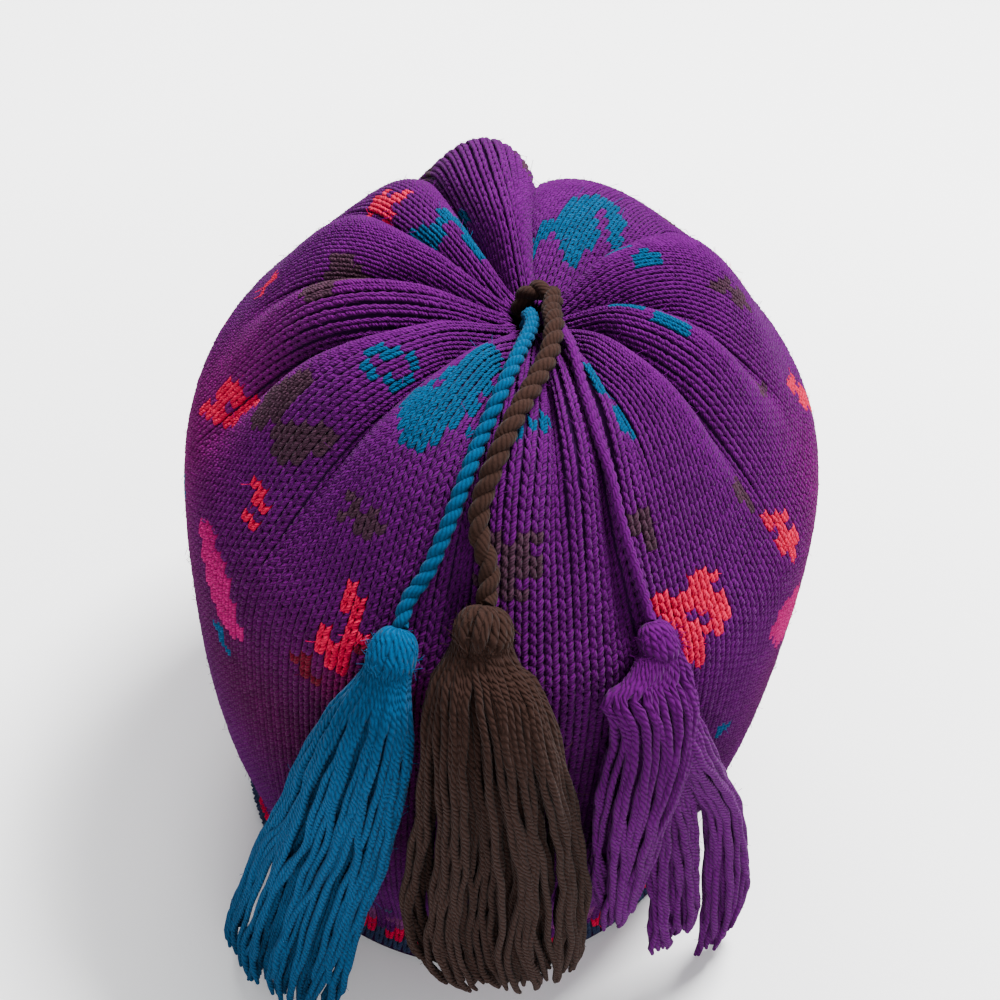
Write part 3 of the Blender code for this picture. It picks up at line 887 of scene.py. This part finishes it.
class HAT_OT_camera(bpy.types.Operator):
    """Places the camera at the photograph's angle to the hat"""
    bl_idname = "hat.camera"
    bl_label = "Camera"

    def execute(self, context):
        # how far the photograph looks down, how far it is turned, and from where
        rise, roll, distance = math.radians(46.0), math.radians(5.2), 0.6325
        target = Vector((0.0003, 0.0, 0.1234))
        forward = Vector((0.0, math.cos(rise), -math.sin(rise)))
        right = Vector((1.0, 0.0, 0.0))
        up = right.cross(forward)
        turned_right = math.cos(roll) * right + math.sin(roll) * up
        turned_up = math.cos(roll) * up - math.sin(roll) * right
        data = bpy.data.cameras.new("camera")
        data.sensor_width = 36.0
        data.lens = 72.0
        camera = new_object("camera", data)
        axes = Matrix((turned_right, turned_up, -forward)).transposed().to_4x4()
        camera.matrix_world = Matrix.Translation(target - distance * forward) @ axes
        context.scene.camera = camera
        return {"FINISHED"}


class HAT_OT_cords(bpy.types.Operator):
    """Makes the three two-ply cords"""
    bl_idname = "hat.cords"
    bl_label = "Cords"

    def execute(self, context):
        twist = context.scene.hat_tassels.cord_twist
        for tint, cord in CORDS.items():
            # plied wool cord: two thick plies with a close, shallow mark of their own yarns
            yarn = wool("cord_wool_" + tint, DYES[cord["dye"]], ply_mark=1.3, lobes=3, ply_depth=0.4)
            diameter = cord["diameter"]
            lines = plies(cord_route(tint), 2, diameter * PLY_OFFSET, diameter * twist)
            made = yarn_object("cord_%s_plies" % tint, lines, diameter * PLY_RADIUS, 9, yarn)
            stand_in(made, "cord_" + tint)
        return {"FINISHED"}


# Knitted fabric

def stitch_mesh():
    """One stitch: two plump legs that meet at the bottom. Across is 1, a row is 1, thickness is 1.
    Each leg is longer than a row, so that it lies on the legs of the rows above and below."""
    # a leg's middle line, its thickness at the two inner points, and the millimetres of yarn up to
    # those and to its end
    line = ((0.06, -1.25, -0.45), (0.165, -0.45, 0.05), (0.30, 0.45, 0.02), (0.39, 1.25, -0.45))
    fat = (0.225, 0.215)
    yarn_mm = (2.4, 5.2, 7.6)
    sides = 5
    points, faces, wraps = [], [], []
    for side in (-1, 1):
        start = len(points)
        points.append((side * line[0][0], line[0][1], line[0][2]))
        wraps.append((1.0, 0.0, 0.0))
        for spot, (x, y, z) in enumerate(line[1:3]):
            for index in range(sides):
                turn = FULL_TURN * (index + 0.25) / sides
                across = math.cos(turn) * fat[spot]
                points.append((side * x + across, y - side * across * 0.35, z + math.sin(turn) * fat[spot]))
                wraps.append((math.cos(turn), math.sin(turn), yarn_mm[spot]))
        points.append((side * line[3][0], line[3][1], line[3][2]))
        wraps.append((1.0, 0.0, yarn_mm[2]))
        end = len(points) - 1
        for index in range(sides):
            following = (index + 1) % sides
            low = (start + 1 + index, start + 1 + following)
            top = start + 1 + sides
            faces.append((start, low[1], low[0]))
            faces.append((low[0], low[1], low[1] + sides, low[0] + sides))
            faces.append((end, top + index, top + following))
    made = mesh_object("stitch", points, faces)
    put_vectors(made.data, "wrap", wraps)
    return made


def stitch_dyes(azimuths, shows, columns, rows):
    """The colour of each stitch: the ground purple with small variation, other dyes in places and maroon
    that is partly painted shade, then the charts.
    """
    random = np.random.default_rng(DYE_SEED)
    dyes = np.ones((rows, columns, 3)) * np.array(srgb(DYES["purple"]))
    levels = FABRIC_LENGTH * np.arange(rows)[:, None] / rows
    # the ground turns to other dyes in places, and to maroon low on the hat, which is partly painted shade
    for dye, azimuth, down, around, along, amount in SHADES:
        turned = ((azimuths - azimuth + 180.0) % 360.0 - 180.0) / around
        share = amount * np.exp(-turned ** 2 - ((levels - down) / along) ** 2)[..., None]
        dyes = dyes * (1.0 - share) + np.array(srgb(DYES[dye])) * share

    def knit_in(row, column, dye):
        if 0 <= row < rows:
            dyes[row, column % columns] = srgb(DYES[dye])

    marks = [(dye, *place) for dye, places in MOTIFS for place in places]
    for dye, chart, azimuth, down in marks:
        lines = CHARTS[chart].split()
        row = min(int(down / FABRIC_LENGTH * rows), rows - 1)
        away = np.abs((azimuths[row] - azimuth + 180.0) % 360.0 - 180.0) + 360.0 * ~shows[row]
        left = int(away.argmin()) - len(lines[0]) // 2
        for index, text in enumerate(lines):
            for place, mark in enumerate(text):
                if mark == "x":
                    knit_in(row - len(lines) // 2 + index, left + place, dye)
    for index, text in enumerate(RIM_CHART):
        for column in range(columns):
            letter = text[column % len(text)]
            if letter in RIM_DYES:
                knit_in(rows - 1 - index, column, RIM_DYES[letter])
    return dyes * random.uniform(0.88, 1.12, (rows, columns, 1))


def make_backing(columns, rows):
    """The fabric's body under the stitches and its inner face, one closed wall."""
    outer = knit_grid(columns, rows // 2 + 1, inset=BACKING_DEPTH)[0]
    inner = knit_grid(columns, rows // 3 + 1, inset=WALL)[0]
    rings = [*outer, *inner[::-1]]
    points = np.concatenate(rings)
    points[:, 2] = np.maximum(points[:, 2], 0.0)
    faces = []
    for ring in range(len(rings)):
        upper, lower = ring * columns, (ring + 1) % len(rings) * columns
        for index in range(columns):
            following = (index + 1) % columns
            faces.append((upper + index, lower + index, lower + following, upper + following))
    made = mesh_object("fabric_wall", points, faces)
    # wool fabric between the stitches and on the inside, coloured far darker than the yarn's dye as painted
    # shade, and matted on the inside: its fibres are too fine to show, so its grain is drawn 3 mm coarse
    cloth, tree, shader, where = new_material("fabric_wool_painted_shade")
    grain = add_node(
        tree, "ShaderNodeTexNoise", {"Scale": 300.0, "Detail": 4.0, "Vector": where}
    ).outputs["Fac"]
    # painted shade: both colours of the wall are far darker than the yarn's purple dye
    dark, light = [(*srgb(code), 1.0) for code in ("#1A0524", "#340B3E")]
    blend = add_node(tree, "ShaderNodeMix", {0: grain, 6: dark, 7: light}, data_type="RGBA")
    bump = add_node(tree, "ShaderNodeBump", {"Strength": 0.7, "Distance": 0.0008, "Height": grain})
    set_inputs(tree, shader, {
        "Base Color": blend.outputs[2], "Normal": bump.outputs["Normal"],
        "Roughness": 0.95, "Specular IOR Level": 0.05,
    })
    made.data.materials.append(cloth)
    stand_in(made, "hat_body")


def make_fibres(name, roots, dyes, longest, random):
    """Stray fibres that stand off the wool; a root is a place, outwards and along the yarn."""
    lines = []
    for start, out, along in roots:
        # which way it leans, its length, how far it stands off, and its curl
        sway = unit(np.cross(out, along) * random.normal() + along * random.normal())
        length = longest * random.uniform(0.35, 1.0)
        lift = random.uniform(0.1, 0.7)
        curl = np.cross(out, sway) * random.normal(0.0, 0.4)
        share = np.linspace(0.0, 1.0, 4)[:, None]
        lines.append(start + length * (out * lift * share + sway * share + curl * share ** 2))
    # single wool hairs
    hair = bpy.data.materials.get("hair_wool") or wool("hair_wool", ply_depth=0.0, sheen=0.0)
    made = yarn_object(name, lines, HAIR_RADIUS, 3, hair)
    each = len(made.data.vertices) // len(lines)
    # painted glow: the fibres are brighter than the wool they stand off
    put_colours(made.data, np.repeat(dyes * HAIR_PAINTED_GLOW, each, axis=0))
    stand_in(made, None)


class HAT_OT_knitting(bpy.types.Operator):
    """Knits the hat's fabric, stitch by stitch"""
    bl_idname = "hat.knitting"
    bl_label = "Knitted fabric"

    def execute(self, context):
        settings = context.scene.hat_knitting
        columns, rows = settings.stitches_around, settings.rows
        points, azimuths, shows = knit_grid(
            columns, rows + 1, inset=settings.sink, narrowest=settings.narrowest, edge=RIM_EDGE
        )
        middle = (points[:-1] + points[1:]) / 2
        shows = shows[:-1]
        upward = points[:-1] - points[1:]
        across = (np.roll(middle, -1, axis=1) - np.roll(middle, 1, axis=1)) / 2
        facing = np.cross(across, upward)
        facing /= np.linalg.norm(facing, axis=2)[..., None] + 1e-12
        width = np.linalg.norm(across, axis=2)
        usual = np.nanmedian(np.where(shows, width, np.nan), axis=1)[:, None]
        usual = np.maximum(usual, settings.narrowest)
        width = np.clip(width, usual * 0.85, usual * 1.15)
        height = np.clip(np.linalg.norm(upward, axis=2), *ROW_HEIGHTS)
        random = np.random.default_rng(KNIT_SEED)
        shape = width.shape
        # no two stitches are quite alike
        size = np.stack([
            width * random.uniform(0.95, 1.05, shape),
            height * random.uniform(0.94, 1.06, shape),
            width * random.uniform(0.92, 1.08, shape),
        ], axis=2)
        upward += across * random.normal(0.0, 0.05, shape)[..., None]
        dyes = stitch_dyes(azimuths[:-1], shows, columns, rows)
        stitch = stitch_mesh()
        # plied wool yarn, one colour for each stitch: its dye, with painted shade mixed in the maroon areas
        yarn = wool("knitting_wool", ply_mark=1.15)
        tree = stitch_tree()
        for number in range(settings.pieces):
            first = number * columns // settings.pieces
            last = (number + 1) * columns // settings.pieces
            mine = np.zeros(shape, dtype=bool)
            mine[:, first:last] = shows[:, first:last]
            name = "knitting_%d" % (number + 1)
            source = mesh_object(name + "_points", middle[mine], [])
            for label, values in (("facing", facing), ("upward", upward), ("stitch_size", size)):
                put_vectors(source.data, label, values[mine])
            put_colours(source.data, dyes[mine])
            use_tree(source, tree, Stitch=stitch, Plumpness=1.0, Yarn=yarn)
            stand_in(plain_mesh(name, source), None)
        bpy.data.objects.remove(stitch, do_unlink=True)
        make_backing(columns * 2, rows)
        # more of the fibres stand off the bright marks, where they show
        bright = dyes[..., 0] > 1.7 * srgb(DYES["purple"])[0]
        weight = shows * np.where(bright, 2.5, 1.0)
        picked = random.choice(shape[0] * shape[1], settings.fibres, p=(weight / weight.sum()).ravel())
        *roots, dyes = [grid.reshape(-1, 3)[picked] for grid in (middle, facing, upward, dyes)]
        make_fibres("loose_fibres", zip(*roots), dyes, FABRIC_HAIR, random)
        return {"FINISHED"}


# Tassels

def make_head(tint, yarn, random):
    """A tassel's head: the strands folded over the cord's end and drawn in under a soft knob."""
    width, length = TASSEL_HEADS[tint][2:]
    middle, axis = head_frame(tint)
    side = unit(np.cross(axis, (0.0, 0.0, 1.0)))
    other = np.cross(axis, side)
    lines, thickness = [], []
    # the strands run from the cord over the knob and end 0.8 of the way down it
    strand, count = 0.0028, 17
    reach, half = width / 2 - strand * 0.42, length / 2 - strand * 0.3
    share = np.linspace(0.02, 1.0, 16)
    polar = math.pi * share * 0.80
    for number in range(count):
        start = FULL_TURN * number / count + random.uniform(-0.12, 0.12)
        turn = start + random.uniform(0.1, 0.5) * share
        out = reach * np.sin(polar) ** 0.6 * random.uniform(0.97, 1.0)
        lines.append(
            middle - axis * half * np.cos(polar)[:, None]
            + out[:, None] * (np.cos(turn)[:, None] * side + np.sin(turn)[:, None] * other)
        )
        thickness.append(np.minimum(1.0, 0.35 + 2.6 * (1.0 - share)))
    # a core fills the knob
    spots = np.linspace(-1, 1, 14)
    lines.append(middle + axis * half * 0.92 * spots[:, None])
    thickness.append(np.sqrt(np.maximum(1 - spots ** 2, 0.02)) * reach * 0.95 / (strand / 2))
    return yarn_object("tassel_%s_head" % tint, lines, strand / 2, 7, yarn, thickness)


def bundle_frames(tint, sections):
    """Frames down a bundle of strands, with how far each is widened and leans sideways."""
    rows = catmull_rom(sections, np.linspace(0, len(sections) - 1, STRAND_STEPS))
    part = np.linspace(0.0, 1.0, STRAND_STEPS)
    widen, lean = np.zeros(STRAND_STEPS), np.zeros(STRAND_STEPS)
    if sections is SKIRTS[tint][0]:
        wide, fading, drawn_in, leaning = SHOULDERS[tint]
        widen = wide * (np.exp(-part * fading) - drawn_in * np.exp(-part * 60.0))
        lean = leaning * np.exp(-part * 2.5) * np.minimum(1.0, 0.35 + part * 10.0)
    return [skirt_frame(row) for row in rows], widen, lean


def make_skirt(tint, yarn, settings, random):
    """A tassel's hanging strands, which follow the bundle's sections and end at uneven lengths. They
    hang in loose locks: the strands of a lock sway together, and a few cross over the others."""
    lines, thickness = [], []
    radius = settings.strand_width / 2
    centre = head_frame(tint)[0]
    bundles = [(SKIRTS[tint][0], settings.strands)]
    if tint == "purple":
        bundles = zip((*SKIRTS[tint], TUFT), PURPLE_STRANDS)
    part = np.linspace(0.0, 1.0, STRAND_STEPS)

    def wave(size, beat, phase):
        return size * np.sin(FULL_TURN * beat * part + phase)

    for sections, share in bundles:
        frames, widen, lean = bundle_frames(tint, sections)
        # for each lock: how far it sways, how often, and where it starts
        locks = [
            (random.normal(0.0, 0.0012), random.uniform(0.8, 1.7), random.uniform(*PHASES))
            for _ in range(LOCKS)
        ]
        for amount, layer in ((share, 1.0), (share * 2 // 3, 0.6), (share // 3, 0.25)):
            for strand in range(amount):
                turn = FULL_TURN * (strand + random.uniform(-0.4, 0.4)) / amount
                lock = locks[int(turn / FULL_TURN * LOCKS) % LOCKS]
                # the strand's own sway, its drift round the bundle on the way down, and how deep it lies
                own, beat = random.normal(0.0, 0.0010), random.uniform(1.8, 3.6)
                phase = random.uniform(*PHASES)
                drift = random.normal(0.0, 0.55)
                depth = layer * random.uniform(0.88, 1.0)
                crimp, start, size = (random.uniform(*ends) for ends in CRIMPS)
                sway = part * (wave(*lock) + wave(own, beat, phase)) + wave(size, crimp, start)
                heave = 0.6 * part * own * np.cos(FULL_TURN * beat * part + phase)
                last = int(round(STRAND_STEPS - 1 - random.uniform(0, 1) ** 1.6 * UNEVEN_ENDS))
                line = []
                for index in range(last + 1):
                    middle, along, out, half_width, half_thickness, outline = frames[index]
                    angle = turn + drift * part[index]
                    across = math.cos(angle) * max((half_width + widen[index]) * depth - radius, 0.0003)
                    through = math.sin(angle) * max(half_thickness * depth - radius, 0.0003)
                    bend = SKIRT_WRAP * OVAL * across ** 2 / (2 * outline)
                    line.append(
                        middle + along * (across + lean[index] + sway[index])
                        + out * (through + heave[index] - bend)
                    )
                if sections is SKIRTS[tint][0]:
                    # the strand starts inside the head
                    knob = (TASSEL_HEADS[tint][2] / 2 - radius * 1.1) * layer
                    around = frames[0][1] * math.cos(turn) + frames[0][2] * math.sin(turn)
                    line.insert(0, centre + around * knob)
                # it is thinner at both ends
                fat = np.ones(last + 1) * random.uniform(0.85, 1.1)
                fat[:2] *= (0.5, 0.85)
                fat[-2:] *= (0.9, 0.55)
                lines.append(even_points(np.array(line), last + 1))
                thickness.append(fat)
    return yarn_object("tassel_%s_strands" % tint, lines, radius, 6, yarn, thickness), lines


def fibre_roots(tint, lines, random):
    """Where loose fibres stand off a tassel's strands and its head."""
    roots = []
    for _ in range(STRAND_FIBRES):
        line = lines[random.integers(0, len(lines))]
        spot = random.integers(1, len(line) - 1)
        along = line[spot + 1] - line[spot]
        out = np.cross(along, random.normal(size=3))
        roots.append((line[spot], unit(out), unit(along)))
    centre = head_frame(tint)[0]
    for _ in range(HEAD_FIBRES):
        out = unit(random.normal(size=3))
        start = centre + out * TASSEL_HEADS[tint][2] * 0.40
        roots.append((start, out, np.cross(out, random.normal(size=3))))
    return roots


class HAT_OT_tassels(bpy.types.Operator):
    """Makes the wound heads and the hanging strands of the three tassels"""
    bl_idname = "hat.tassels"
    bl_label = "Tassels"

    def execute(self, context):
        settings = context.scene.hat_tassels
        for number, tint in enumerate(TASSEL_HEADS):
            random = np.random.default_rng(TASSEL_SEED + number)
            # soft plied wool with a deep, slow twist
            yarn = wool("tassel_wool_" + tint, DYES[tint], ply_mark=2.3, ply_depth=1.1)
            head = make_head(tint, yarn, random)
            stand_in(head, "tassel_head_" + tint)
            skirt, lines = make_skirt(tint, yarn, settings, random)
            stand_in(skirt, "tassel_skirt_" + tint)
            roots = fibre_roots(tint, lines, random)
            dyes = np.array([srgb(DYES[tint])] * len(roots))
            make_fibres("tassel_%s_fibres" % tint, roots, dyes, TASSEL_HAIR, random)
            route = cord_route(tint)
        return {"FINISHED"}


# Stage, panel and registration

class HAT_OT_stage(bpy.types.Operator):
    """Lays the floor and sets the lights"""
    bl_idname = "hat.stage"
    bl_label = "Stage"

    def execute(self, context):
        settings = context.scene.hat_stage
        floor = mesh_object(
            "floor", [(-6, -6, 0), (6, -6, 0), (6, 6, 0), (-6, 6, 0)], [(0, 1, 2, 3)]
        )
        # matt white paint, whose grain is too fine to show and is drawn 4.5 mm coarse
        paint, tree, shader, where = new_material("floor_paint")
        # the floor glows a little away from the hat, so that it looks white under soft light; near the hat
        # the glow fades out, which paints shade on the floor under the hat
        away = add_node(tree, "ShaderNodeVectorMath", {0: where}, operation="LENGTH")
        glow = add_node(tree, "ShaderNodeMapRange", {
            "Value": away.outputs["Value"], "From Min": 0.08, "From Max": 0.40, "To Max": 0.95,
        })
        grain = add_node(
            tree, "ShaderNodeTexNoise", {"Scale": 220.0, "Detail": 4.0, "Vector": where}
        )
        bump = add_node(
            tree, "ShaderNodeBump",
            {"Strength": 0.08, "Distance": 0.0004, "Height": grain.outputs["Fac"]},
        )
        set_inputs(tree, shader, {
            "Base Color": (*settings.floor_colour, 1.0), "Roughness": 0.8,
            "Emission Color": (1.0, 1.0, 1.0, 1.0), "Emission Strength": glow.outputs["Result"],
            "Normal": bump.outputs["Normal"],
        })
        floor.data.materials.append(paint)
        # each light: its name, place, power and size
        for name, place, power, size in (
            ("key", (0.36, 0.36, 1.26), settings.key_power, 0.40),
            ("fill", (0.25, -1.2, 0.75), settings.fill_power, 0.9),
            ("rim_light", (-0.3, 1.1, 1.1), settings.fill_power * 3.0, 0.9),
        ):
            data = bpy.data.lights.new(name, "AREA")
            data.energy = power
            data.size = size
            lamp = new_object(name, data)
            lamp.location = place
            lamp.rotation_euler = (LIT_POINT - Vector(place)).to_track_quat("-Z", "Y").to_euler()
        world = bpy.data.worlds.new("studio")
        world.use_nodes = True
        set_inputs(world.node_tree, world.node_tree.nodes["Background"], {
            "Color": (*srgb("#F2F3F8"), 1.0), "Strength": 0.52,
        })
        context.scene.world = world
        return {"FINISHED"}


class HAT_PT_panel(bpy.types.Panel):
    """Lists the sizes and the steps that build the hat"""
    bl_label = "Knitted hat"
    bl_idname = "HAT_PT_panel"
    bl_space_type = "VIEW_3D"
    bl_region_type = "UI"
    bl_category = "Knitted hat"

    def draw(self, context):
        for name in SETTINGS:
            settings = getattr(context.scene, name)
            box = self.layout.box()
            for label in settings.bl_rna.properties.keys():
                if label not in {"rna_type", "name"}:
                    box.prop(settings, label)
        for step in STEPS:
            self.layout.operator(step.bl_idname)


SETTINGS = {"hat_knitting": KnitSettings, "hat_tassels": TasselSettings, "hat_stage": StageSettings}
STEPS = (HAT_OT_camera, HAT_OT_cords, HAT_OT_knitting, HAT_OT_tassels, HAT_OT_stage)
CLASSES = (*SETTINGS.values(), *STEPS, HAT_PT_panel)


def register():
    for item in CLASSES:
        bpy.utils.register_class(item)
    for name, kind in SETTINGS.items():
        setattr(bpy.types.Scene, name, PointerProperty(type=kind))


def unregister():
    for name in SETTINGS:
        delattr(bpy.types.Scene, name)
    for item in reversed(CLASSES):
        bpy.utils.unregister_class(item)


def main():
    register()
    bpy.ops.hat.camera()
    bpy.ops.hat.cords()
    bpy.ops.hat.knitting()
    bpy.ops.hat.tassels()
    bpy.ops.hat.stage()


if __name__ == "__main__":
    main()
